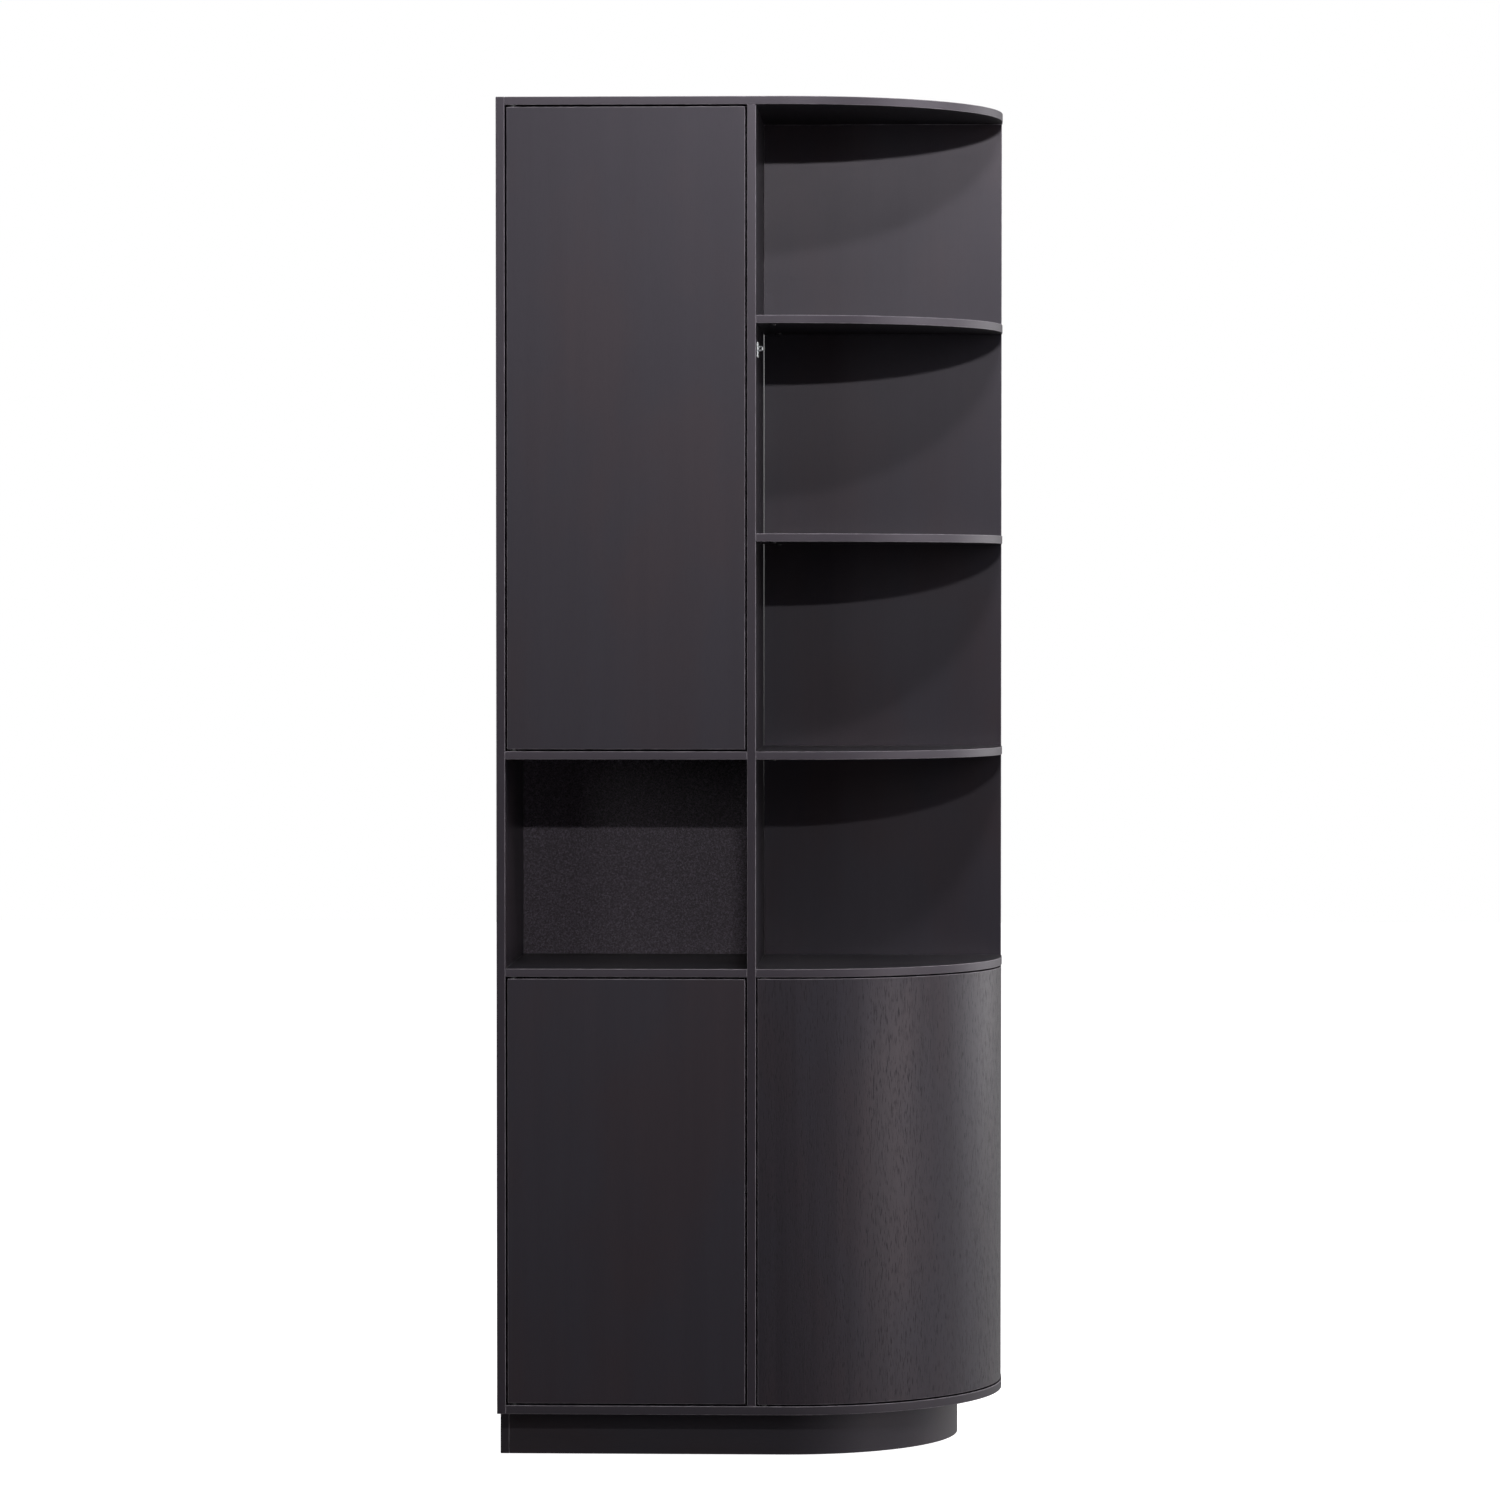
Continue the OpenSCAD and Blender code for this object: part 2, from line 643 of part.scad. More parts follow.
left_side_panel();
middle_divider();
top_board();
bottom_board();
right_shelf_1();
right_shelf_2();
right_shelf_3();
right_shelf_4();
left_shelf_upper();
left_shelf_lower();
left_back_panel();
right_back_panel();
loose_shelf_high();
loose_shelf_mid();
loose_shelf_low();
loose_shelf_round();
plinth_skirt();
plinth_left_board();
plinth_back_board();
plinth_cross_rail();
plinth_glue_blocks();
plinth_screws();
cam_discs();
cam_caps();
cam_bolts();
dowels();
shelf_pins();
back_panel_screws();
wall_brackets();
bracket_screws();
eye_plate();
eye_plate_screws();
hinge_bushes();
upper_door();
upper_door_pins();
upper_striker();
upper_striker_screws();
lower_door();
lower_door_pins();
lower_striker();
lower_striker_screws();
round_door();
round_door_pins();
round_striker();
round_striker_screws();
upper_latch_housing();
lower_latch_housing();
round_latch_housing();
latch_screws();
upper_latch_plunger();
upper_latch_spring();
lower_latch_plunger();
lower_latch_spring();
round_latch_plunger();
round_latch_spring();
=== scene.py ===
"""Tall black cabinet with a rounded right end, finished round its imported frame.

The boards and doors are copies of the frame's own boards with eased arrises and a black
stain over open-pored veneer. The fittings keep the frame's shapes and get their metals and
plastics. The springs of the push latches are wound here. Everything is in metres.
"""

import logging
import math
from dataclasses import dataclass, field
from enum import Enum
from typing import Any, Mapping, Optional, Sequence, Union

import bmesh
import bpy
from mathutils import Euler, Matrix, Vector

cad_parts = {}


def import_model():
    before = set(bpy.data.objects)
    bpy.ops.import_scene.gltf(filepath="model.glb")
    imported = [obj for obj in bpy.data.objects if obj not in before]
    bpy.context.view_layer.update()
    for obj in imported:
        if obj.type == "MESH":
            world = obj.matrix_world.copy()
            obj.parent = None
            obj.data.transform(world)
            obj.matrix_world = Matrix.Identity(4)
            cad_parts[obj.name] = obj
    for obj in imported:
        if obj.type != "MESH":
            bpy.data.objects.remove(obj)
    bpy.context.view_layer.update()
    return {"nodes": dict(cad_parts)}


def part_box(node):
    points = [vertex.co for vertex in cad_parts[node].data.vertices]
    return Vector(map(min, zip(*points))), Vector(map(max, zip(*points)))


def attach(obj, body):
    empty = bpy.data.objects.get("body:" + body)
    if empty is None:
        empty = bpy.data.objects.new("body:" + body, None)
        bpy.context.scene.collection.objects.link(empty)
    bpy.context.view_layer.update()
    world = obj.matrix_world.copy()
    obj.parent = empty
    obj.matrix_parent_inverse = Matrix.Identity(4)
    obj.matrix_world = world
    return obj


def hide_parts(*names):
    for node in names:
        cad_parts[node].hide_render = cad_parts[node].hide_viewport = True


LOG = logging.getLogger("cabinet")
MM = 0.001
MERGE_DISTANCE = 1e-6
# Degrees between faces over which an edge stays sharp to the eye
CREASE = 40.0
# How much a big face's own normal counts at its corners
FLAT_WEIGHT = 100
# The whole range of a share
FULL = (0.0, 1.0)
WHITE = (1.0, 1.0, 1.0, 1.0)
QUARTER_TURN = math.pi / 2

Socket = bpy.types.NodeSocket
Inputs = Mapping[Union[str, int], Any]


# ---- colours and nodes ----


def linear(colour: str) -> tuple[float, float, float, float]:
    """Turns an sRGB hex colour to linear light.

    Args:
        colour: The colour as "#rrggbb".

    Returns:
        Linear red, green and blue, and an alpha of 1.
    """
    channels = [int(colour[i : i + 2], 16) / 255 for i in (1, 3, 5)]
    lit = [c / 12.92 if c <= 0.04045 else ((c + 0.055) / 1.055) ** 2.4 for c in channels]
    return lit[0], lit[1], lit[2], 1.0


def add_node(tree: bpy.types.NodeTree, kind: str, inputs: Inputs,
             **settings: Any) -> bpy.types.Node:
    """Adds a node to a tree with its settings, values and links.

    Args:
        tree: The node tree.
        kind: The node's type name without the "ShaderNode" in front.
        inputs: Each input's name or number, with its value or the socket that feeds it.
        **settings: The node's own properties.

    Returns:
        The new node.
    """
    node = tree.nodes.new("ShaderNode" + kind)
    for name, value in settings.items():
        setattr(node, name, value)
    for name, value in inputs.items():
        if isinstance(value, Socket):
            tree.links.new(value, node.inputs[name])
        else:
            node.inputs[name].default_value = value
    return node


def blend(tree: bpy.types.NodeTree, share: Any, first: Any, second: Any) -> Socket:
    """Mixes two colours.

    Args:
        tree: The node tree.
        share: How much of the second colour shows, from 0 to 1.
        first: The first colour.
        second: The second colour.

    Returns:
        The mixed colour's socket.
    """
    return add_node(tree, "Mix", {0: share, 6: first, 7: second}, data_type="RGBA").outputs[2]


def spread(tree: bpy.types.NodeTree, value: Socket, old: tuple[float, float],
           new: tuple[float, float]) -> Socket:
    """Maps a value from one range to another, clamped.

    Args:
        tree: The node tree.
        value: The value's socket.
        old: The range that comes in.
        new: The range that goes out.

    Returns:
        The mapped value's socket.
    """
    limits = {0: value, 1: old[0], 2: old[1], 3: new[0], 4: new[1]}
    return add_node(tree, "MapRange", limits).outputs[0]


def noise(tree: bpy.types.NodeTree, grain: Sequence[float], detail: float,
          roughness: float = 0.5, distortion: float = 0.0, turn: float = 0.0) -> Socket:
    """Adds a noise whose blobs have a real size along X, Y and Z.

    Args:
        tree: The node tree.
        grain: The blobs' sizes along X, Y and Z, in metres.
        detail: The noise's octaves.
        roughness: How strong the finer octaves are.
        distortion: How much the blobs are bent.
        turn: A shift of the pattern, in blob sizes, so that two noises differ.

    Returns:
        The noise value's socket.
    """
    place = add_node(tree, "TexCoord", {}).outputs["Object"]
    sized = add_node(tree, "Mapping", {
        "Vector": place,
        "Location": (turn, turn, turn),
        "Scale": [1 / size for size in grain],
    }).outputs[0]
    return add_node(tree, "TexNoise", {
        "Vector": sized, "Scale": 1.0, "Detail": detail,
        "Roughness": roughness, "Distortion": distortion,
    }).outputs[0]


def new_material(name: str) -> tuple[bpy.types.Material, bpy.types.NodeTree, bpy.types.Node]:
    """Makes an empty node material.

    Args:
        name: The material's name.

    Returns:
        The material, its node tree and its Principled shader.
    """
    material = bpy.data.materials.new(name)
    material.use_nodes = True
    tree = material.node_tree
    return material, tree, tree.nodes["Principled BSDF"]


# ---- finishes ----


class Grain(Enum):
    """The way that the wood's grain runs: which axis, as 0, 1 or 2 for X, Y or Z."""

    LENGTHWISE = 0
    UPRIGHT = 2


class Slot(Enum):
    """The record's material slots."""

    BOARDS = "black_stained_boards"
    PLINTH = "black_plinth_boards"
    DOORS = "black_stained_doors"
    BENT_DOOR = "black_stained_veneer"
    SPRING = "spring_steel"


class CoilWay(Enum):
    """The axis that a latch spring is wound about: across the cabinet, or to its back."""

    ACROSS = "X"
    BACK = "Y"

    def axis(self) -> Vector:
        """Gives the axis as a direction."""
        return Vector((1, 0, 0)) if self is CoilWay.ACROSS else Vector((0, 1, 0))


@dataclass(frozen=True)
class StainedVeneer:
    """Wood veneer, stained black and sealed with a satin lacquer.

    To the eye it is a soft black that drifts between a plum and a bluish cast. Its pores
    are short dark dashes along the grain. The edge bands are a shade lighter than the
    faces. The arrises are drawn much lighter, in patches: the stain rubbed thin there, and
    a painted highlight along each edge.
    """

    name: str
    grain: Grain
    plum: str = "#322b30"
    cool: str = "#2e2b32"
    deep: str = "#262228"
    pore: str = "#141116"
    band: str = "#38333a"
    # The arrises' light colour: stain rubbed thin, with a painted highlight over it
    rubbed_and_highlight: str = "#8d878f"
    gloss: str = "#fbf3ff"
    roughness: float = 0.38
    # Pores are 0.3 mm wide. They are drawn wider so that they show.
    pore_width: float = 1.2 * MM
    pore_length: float = 18 * MM
    pore_share: float = 0.12
    pore_depth: float = 0.015 * MM
    figure_width: float = 34 * MM
    figure_length: float = 900 * MM
    figure_share: float = 0.25
    cloud: float = 260 * MM
    # Size of the patches in the arrises' rub-through and painted highlight
    rub_and_highlight_patch: float = 18 * MM

    def along(self, width: float, length: float) -> list[float]:
        """Gives a blob size that is long with the grain.

        Args:
            width: The size across the grain.
            length: The size along the grain.

        Returns:
            The sizes along X, Y and Z.
        """
        sizes = [width, width, width]
        sizes[self.grain.value] = length
        return sizes

    def stain(self, tree: bpy.types.NodeTree, pores: Socket, clouds: Socket) -> Socket:
        """Makes the stain's colour.

        Args:
            tree: The node tree.
            pores: How much a pore shows, from 0 to 1.
            clouds: The slow drift over the board.

        Returns:
            The colour's socket.
        """
        cast = blend(tree, spread(tree, clouds, (0.4, 0.6), FULL), linear(self.plum),
                     linear(self.cool))
        figure = noise(tree, self.along(self.figure_width, self.figure_length), detail=4.0,
                       roughness=0.55, distortion=0.4, turn=3.0)
        figured = blend(tree, spread(tree, figure, (0.4, 0.65), (0.0, self.figure_share)), cast,
                        linear(self.deep))
        pored = blend(tree, spread(tree, pores, FULL, (0.0, self.pore_share)), figured,
                      linear(self.pore))
        band = add_node(tree, "Attribute", {}, attribute_name="band").outputs["Fac"]
        banded = blend(tree, band, pored, linear(self.band))
        # Painted highlight: the rounded arris faces are mixed in patches towards the light arris
        # colour, which stands for stain rubbed thin there and for the highlight along each edge.
        arris = add_node(tree, "Attribute", {}, attribute_name="arris").outputs["Fac"]
        rubbing_and_highlight = noise(tree, [self.rub_and_highlight_patch] * 3, detail=4.0, roughness=0.6, turn=5.0)
        wear_and_highlight = spread(tree, rubbing_and_highlight, (0.4, 0.7), (0.3, 0.8))
        lightened = add_node(tree, "Math", {0: arris, 1: wear_and_highlight}, operation="MULTIPLY").outputs[0]
        return blend(tree, lightened, banded, linear(self.rubbed_and_highlight))

    def material(self) -> bpy.types.Material:
        """Builds the veneer's material.

        Returns:
            The veneer material, with its nodes.
        """
        material, tree, shader = new_material(self.name)
        dashes = noise(tree, self.along(self.pore_width, self.pore_length), detail=2.0,
                       roughness=0.6)
        pores = spread(tree, dashes, (0.54, 0.66), FULL)
        clouds = noise(tree, self.along(self.cloud / 2, self.cloud), detail=3.0, turn=7.0)
        shader.inputs["Specular Tint"].default_value = linear(self.gloss)
        satin = add_node(tree, "Math", {
            0: spread(tree, clouds, (0.3, 0.7), (self.roughness - 0.015, self.roughness + 0.02)),
            1: spread(tree, pores, FULL, (0.0, 0.3 * self.pore_share)),
        }, operation="ADD").outputs[0]
        relief = add_node(tree, "Bump", {"Height": pores, "Distance": self.pore_depth,
                                         "Strength": 0.6}, invert=True).outputs[0]
        tree.links.new(self.stain(tree, pores, clouds), shader.inputs["Base Color"])
        tree.links.new(satin, shader.inputs["Roughness"])
        tree.links.new(relief, shader.inputs["Normal"])
        return material


@dataclass(frozen=True)
class PaintedHardboard:
    """Hardboard, pressed from wood fibre and painted black.

    To the eye it is a duller black than the boards, with a pale felted fleck.
    """

    name: str
    paint: str = "#453b45"
    fleck: str = "#85788a"
    roughness: float = 0.4
    # The fibres are under 1 mm across. They are drawn coarser so that they show.
    fibre: float = 3.0 * MM
    fibre_depth: float = 0.2 * MM
    cloud: float = 120 * MM

    def material(self) -> bpy.types.Material:
        """Builds the hardboard's material.

        Returns:
            The hardboard material, with its nodes.
        """
        material, tree, shader = new_material(self.name)
        felt = noise(tree, [self.fibre] * 3, detail=5.0, roughness=0.65, distortion=1.2)
        clouds = noise(tree, [self.cloud] * 3, detail=2.0, turn=4.0)
        flecked = blend(tree, spread(tree, felt, (0.45, 0.65), FULL), linear(self.paint),
                        linear(self.fleck))
        relief = add_node(tree, "Bump", {"Height": felt, "Distance": self.fibre_depth,
                                         "Strength": 0.5}).outputs[0]
        dull = spread(tree, clouds, (0.3, 0.7), (self.roughness - 0.05, self.roughness + 0.06))
        tree.links.new(flecked, shader.inputs["Base Color"])
        tree.links.new(dull, shader.inputs["Roughness"])
        tree.links.new(relief, shader.inputs["Normal"])
        return material


@dataclass(frozen=True)
class Metal:
    """A bare or plated metal with crystals or a brushed lay.

    To the eye the crystals shift the shade from patch to patch, and the handled places are
    a little duller.
    """

    name: str
    bright: str
    dark: str
    roughness: float
    crystal: float = 1.2 * MM
    crystal_depth: float = 0.01 * MM
    smudge: float = 6 * MM
    lay: Optional[tuple[float, float, float]] = None

    def material(self) -> bpy.types.Material:
        """Builds the metal's material.

        Returns:
            The metal material, with its nodes.
        """
        material, tree, shader = new_material(self.name)
        shader.inputs["Metallic"].default_value = 1.0
        crystals = noise(tree, self.lay or [self.crystal] * 3, detail=3.0, roughness=0.6)
        handled = noise(tree, [self.smudge] * 3, detail=3.0, roughness=0.55, distortion=0.3,
                        turn=2.0)
        sheen = blend(tree, spread(tree, crystals, (0.35, 0.65), FULL), linear(self.dark),
                      linear(self.bright))
        dull = spread(tree, handled, (0.35, 0.7), (self.roughness, self.roughness + 0.14))
        relief = add_node(tree, "Bump", {"Height": crystals, "Distance": self.crystal_depth,
                                         "Strength": 0.4}).outputs[0]
        tree.links.new(sheen, shader.inputs["Base Color"])
        tree.links.new(dull, shader.inputs["Roughness"])
        tree.links.new(relief, shader.inputs["Normal"])
        return material


@dataclass(frozen=True)
class MouldedPlastic:
    """A moulded plastic with a spark-eroded grain.

    To the eye the grain breaks the highlight up, and the surface is a touch lighter where
    the mould left it smoother.
    """

    name: str
    colour: str
    lightened: str
    roughness: float
    grit: float = 0.5 * MM
    grit_depth: float = 0.02 * MM
    flow: float = 9 * MM
    ior: float = 1.5

    def material(self) -> bpy.types.Material:
        """Builds the plastic's material.

        Returns:
            The plastic material, with its nodes.
        """
        material, tree, shader = new_material(self.name)
        shader.inputs["IOR"].default_value = self.ior
        grain = noise(tree, [self.grit] * 3, detail=2.0, roughness=0.6)
        flow = noise(tree, [self.flow] * 3, detail=2.0, distortion=0.4, turn=6.0)
        tone = blend(tree, spread(tree, flow, (0.35, 0.7), (0.0, 0.7)), linear(self.colour),
                     linear(self.lightened))
        dull = spread(tree, flow, (0.3, 0.7), (self.roughness + 0.05, self.roughness - 0.05))
        relief = add_node(tree, "Bump", {"Height": grain, "Distance": self.grit_depth,
                                         "Strength": 0.5}).outputs[0]
        tree.links.new(tone, shader.inputs["Base Color"])
        tree.links.new(dull, shader.inputs["Roughness"])
        tree.links.new(relief, shader.inputs["Normal"])
        return material


@dataclass(frozen=True)
class PowderCoat:
    """Black powder coat on pressed steel.

    To the eye it is an even black with a fine orange peel.
    """

    name: str
    colour: str = "#1d1d1f"
    lifted: str = "#2b2b2e"
    peel: float = 1.6 * MM
    peel_depth: float = 0.04 * MM

    def material(self) -> bpy.types.Material:
        """Builds the coat's material.

        Returns:
            The coat material, with its nodes.
        """
        material, tree, shader = new_material(self.name)
        peel = noise(tree, [self.peel] * 3, detail=1.0)
        relief = add_node(tree, "Bump", {"Height": peel, "Distance": self.peel_depth,
                                         "Strength": 0.5}).outputs[0]
        tone = blend(tree, spread(tree, peel, (0.4, 0.7), (0.0, 0.5)), linear(self.colour),
                     linear(self.lifted))
        tree.links.new(tone, shader.inputs["Base Color"])
        tree.links.new(spread(tree, peel, (0.3, 0.7), (0.46, 0.54)), shader.inputs["Roughness"])
        tree.links.new(relief, shader.inputs["Normal"])
        return material


@dataclass(frozen=True)
class RawBeech:
    """Planed beech, unfinished.

    To the eye it is a pale pinkish tan, with the short dark flecks that beech has.
    """

    name: str
    pale: str = "#c9a777"
    warm: str = "#b58f60"
    fleck: str = "#8e6a45"
    ring: tuple[float, float, float] = (3 * MM, 3 * MM, 60 * MM)
    ring_depth: float = 0.05 * MM
    ray: tuple[float, float, float] = (0.7 * MM, 0.7 * MM, 3.5 * MM)

    def material(self) -> bpy.types.Material:
        """Builds the beech's material.

        Returns:
            The beech material, with its nodes.
        """
        material, tree, shader = new_material(self.name)
        rings = noise(tree, self.ring, detail=3.0, roughness=0.55, distortion=0.4)
        flecks = noise(tree, self.ray, detail=1.0, turn=9.0)
        wood = blend(tree, spread(tree, rings, (0.35, 0.65), FULL), linear(self.pale),
                     linear(self.warm))
        flecked = blend(tree, spread(tree, flecks, (0.6, 0.7), (0.0, 0.7)), wood,
                        linear(self.fleck))
        relief = add_node(tree, "Bump", {"Height": rings, "Distance": self.ring_depth,
                                         "Strength": 0.4}).outputs[0]
        tree.links.new(flecked, shader.inputs["Base Color"])
        tree.links.new(spread(tree, flecks, (0.3, 0.7), (0.6, 0.7)), shader.inputs["Roughness"])
        tree.links.new(relief, shader.inputs["Normal"])
        return material


Finish = Union[StainedVeneer, PaintedHardboard, Metal, MouldedPlastic, PowderCoat, RawBeech]


@dataclass
class Finishes:
    """The finishes of this cabinet, each made once."""

    made: dict[str, bpy.types.Material] = field(default_factory=dict)

    def get(self, finish: Finish) -> bpy.types.Material:
        """Gives a finish's material, and builds it the first time.

        Args:
            finish: The finish.

        Returns:
            Its material.
        """
        if finish.name not in self.made:
            self.made[finish.name] = finish.material()
        return self.made[finish.name]


SIDE_STAIN = StainedVeneer("stained_ash_side", Grain.UPRIGHT, roughness=0.3)
BACK_STAIN = StainedVeneer("stained_ash_back", Grain.UPRIGHT, roughness=0.32)
# Painted shade: the divider, the shelves and the bottom board are darker copies of the one stain,
# so that their flat faces show darker than the other boards'. The shelves' edge bands are drawn
# lighter, a painted light on their front edges.
SHADED_DIVIDER_STAIN = StainedVeneer("stained_ash_divider_painted_shade", Grain.UPRIGHT, plum="#221e22",
                              cool="#201e24", deep="#19171b", roughness=0.3)
SHADED_SHELF_STAIN = StainedVeneer("stained_ash_shelves_painted_shade_and_light", Grain.LENGTHWISE, plum="#1b181b",
                            cool="#19181d", deep="#141316", band="#3f3a41", roughness=0.42)
SHADED_BASE_STAIN = StainedVeneer("stained_ash_base_painted_shade", Grain.LENGTHWISE, plum="#1b181b",
                           cool="#19181d", deep="#141316", band="#322e34", roughness=0.46)
DOOR_STAIN = StainedVeneer("stained_ash_doors", Grain.UPRIGHT, roughness=0.42)
CURVED_STAIN = StainedVeneer("stained_ash_bent", Grain.UPRIGHT, roughness=0.38,
                             pore_width=1.5 * MM, pore_length=16 * MM, pore_share=0.95,
                             pore_depth=0.07 * MM, figure_width=20 * MM, figure_share=0.7)
# Painted light: the plinth is a lighter copy of the one stain, which lifts the shade under the
# bottom board.
LIT_PLINTH_STAIN = StainedVeneer("stained_ash_plinth_painted_light", Grain.LENGTHWISE, plum="#3a3338",
                             cool="#36333a", deep="#2d292e", roughness=0.44)
BACK_PAINT = PaintedHardboard("painted_hardboard")
ZINC = Metal("zinc_plated_steel", "#c3c5c6", "#93979b", 0.3)
ZINC_CAST = Metal("die_cast_zinc", "#a9abac", "#83878a", 0.42, crystal=2.0 * MM)
NICKEL = Metal("nickel_plated_steel", "#dcd8cf", "#b9b4aa", 0.16, crystal=0.6 * MM)
BRIGHT_ZINC = Metal("bright_zinc_plated_steel", "#eef0f2", "#d3d6d9", 0.34, crystal=0.8 * MM)
GROUND_STEEL = Metal("ground_steel", "#b5b7b9", "#8c9093", 0.24, lay=(0.4 * MM, 0.4 * MM, 6 * MM))
SPRING_STEEL = Metal("drawn_spring_steel", "#9a9ea3", "#6c7076", 0.3, crystal=0.8 * MM)
NYLON = MouldedPlastic("black_nylon", "#101011", "#19191b", 0.5, ior=1.53)
CAP_PLASTIC = MouldedPlastic("black_polypropylene", "#242326", "#363539", 0.5, ior=1.49)
LATCH_PLASTIC = MouldedPlastic("grey_acetal", "#4c4c50", "#5d5d62", 0.45, ior=1.48)
BLACK_STEEL = PowderCoat("powder_coated_steel")
BEECH = RawBeech("raw_beech")


# ---- mesh work ----


def to_object(bm: bmesh.types.BMesh, name: str) -> bpy.types.Object:
    """Turns a bmesh into an object at the origin, with its place in its mesh.

    Args:
        bm: The bmesh, which is freed.
        name: The object's name.

    Returns:
        The new object, linked to the scene.
    """
    mesh = bpy.data.meshes.new(name)
    bm.to_mesh(mesh)
    bm.free()
    made = bpy.data.objects.new(name, mesh)
    bpy.context.scene.collection.objects.link(made)
    return made


def shade(obj: bpy.types.Object) -> None:
    """Shades an object smooth, with its creases kept sharp and its flats kept flat.

    Args:
        obj: The object.
    """
    obj.data.shade_smooth()
    obj.data.set_sharp_from_angle(angle=math.radians(CREASE))
    flats = obj.modifiers.new("flats", "WEIGHTED_NORMAL")
    flats.keep_sharp = True
    flats.weight = FLAT_WEIGHT


def dress(obj: bpy.types.Object, material: bpy.types.Material) -> None:
    """Gives a new piece its material.

    Args:
        obj: The piece.
        material: The material.
    """
    obj.data.materials.clear()
    obj.data.materials.append(material)


@dataclass
class EasedBoards:
    """Boards whose arrises are rounded a little, as sanding leaves them.

    A board is a copy of its frame node, so every bore and groove is in it.
    """

    nodes: Mapping[str, bpy.types.Object]
    arris: float = 1.0 * MM
    segments: int = 3
    # Faces that meet flatter than this many degrees are one face.
    flatness: float = 0.5
    # A normal's share along an axis: under the first it lies across, over the second along.
    across: float = 0.1
    along: float = 0.9
    # A face smaller than this is the wall of a bore, and its rim stays crisp.
    least_face: float = 45 * MM * MM
    # An arris turns by at least this many degrees.
    least_corner: float = 50.0
    bent: tuple[str, ...] = ("round_door", "plinth_skirt")
    # The groove for the back panel, from front to back
    groove: tuple[float, float] = (191.5 * MM, 196.5 * MM)

    def is_arris(self, edge: bmesh.types.BMEdge) -> bool:
        """Says whether an edge is an outer corner of the board, and not a bore or groove.

        Args:
            edge: An edge of the board's bmesh.

        Returns:
            True if sanding has rounded the edge.
        """
        if len(edge.link_faces) != 2 or not edge.is_convex:
            return False
        if math.degrees(edge.calc_face_angle()) < self.least_corner:
            return False
        middle = (edge.verts[0].co + edge.verts[1].co) / 2
        if self.groove[0] < middle.y < self.groove[1]:
            return False
        return min(f.calc_area() for f in edge.link_faces) > self.least_face

    def band_faces(self, node: str,
                   faces: Sequence[bmesh.types.BMFace]) -> list[bmesh.types.BMFace]:
        """Finds the faces that carry an edge band.

        Args:
            node: The board's frame node.
            faces: The board's faces.

        Returns:
            The upper and lower edges of a bent board, and every edge of a flat one.
        """
        if node in self.bent:
            return [f for f in faces if abs(f.normal.z) > self.along]
        low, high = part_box(node)
        size = list(high - low)
        thin = size.index(min(size))
        return [f for f in faces if abs(f.normal[thin]) < self.across]

    def make(self, node: str, body: str, material: bpy.types.Material,
             slot: Slot) -> bpy.types.Object:
        """Makes one board in place of its frame node.

        Args:
            node: The frame node that the board stands for.
            body: The body that it rides on.
            material: Its material.
            slot: The record's material slot. It is not used.

        Returns:
            The new board.
        """
        bm = bmesh.new()
        bm.from_mesh(self.nodes[node].data)
        bmesh.ops.remove_doubles(bm, verts=bm.verts, dist=MERGE_DISTANCE)
        bmesh.ops.dissolve_limit(bm, angle_limit=math.radians(self.flatness), verts=bm.verts,
                                 edges=bm.edges)
        lightened = bm.faces.layers.float.new("arris")
        banded = bm.faces.layers.float.new("band")
        for face in self.band_faces(node, bm.faces):
            face[banded] = 1.0
        arrises = [e for e in bm.edges if self.is_arris(e)]
        rounded = bmesh.ops.bevel(bm, geom=arrises, offset=self.arris, offset_type="OFFSET",
                                  affect="EDGES", segments=self.segments, profile=0.5,
                                  material=-1, clamp_overlap=False)
        # The rounded faces are marked for the light arris colour: rub-through and a painted
        # highlight.
        for face in rounded["faces"]:
            face[lightened] = 1.0
        board = to_object(bm, node + "_board")
        shade(board)
        dress(board, material)
        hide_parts(node)
        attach(board, body)
        LOG.info("%s: %d arrises eased, %d faces", board.name, len(arrises),
                 len(board.data.polygons))
        return board


# ---- sub-assemblies ----


@dataclass
class Carcass:
    """The panels, boards and shelves that are fixed to each other."""

    boards: EasedBoards
    finishes: Finishes
    level: tuple[str, ...] = ("top_board", "right_shelf_1", "right_shelf_2", "right_shelf_3",
                              "right_shelf_4", "left_shelf_upper", "left_shelf_lower")
    loose: tuple[str, ...] = ("loose_shelf_high", "loose_shelf_mid", "loose_shelf_low",
                              "loose_shelf_round")

    def build(self) -> None:
        """Builds and dresses the boards."""
        # The divider, the shelves and the bottom board take the darker copies of the stain, which
        # are painted shade.
        stains = {"left_side_panel": SIDE_STAIN, "middle_divider": SHADED_DIVIDER_STAIN,
                  "right_back_panel": BACK_STAIN, "bottom_board": SHADED_BASE_STAIN}
        stains.update((node, SHADED_SHELF_STAIN) for node in self.level + self.loose)
        for node, stain in stains.items():
            self.boards.make(node, "carcass", self.finishes.get(stain), Slot.BOARDS)


@dataclass
class Plinth:
    """The recessed plinth under the bottom board."""

    boards: EasedBoards
    finishes: Finishes
    parts: tuple[str, ...] = ("plinth_skirt", "plinth_left_board", "plinth_back_board",
                              "plinth_cross_rail")

    def build(self) -> None:
        """Builds and dresses the plinth's boards."""
        for node in self.parts:
            # The plinth takes the lighter copy of the stain, painted light.
            self.boards.make(node, "carcass", self.finishes.get(LIT_PLINTH_STAIN), Slot.PLINTH)


@dataclass
class Doors:
    """The two flat doors and the curved door, each on its own body."""

    boards: EasedBoards
    finishes: Finishes

    def build(self) -> None:
        """Builds and dresses the doors."""
        for node, finish, slot in (("upper_door", DOOR_STAIN, Slot.DOORS),
                                   ("lower_door", DOOR_STAIN, Slot.DOORS),
                                   ("round_door", CURVED_STAIN, Slot.BENT_DOOR)):
            self.boards.make(node, node, self.finishes.get(finish), slot)


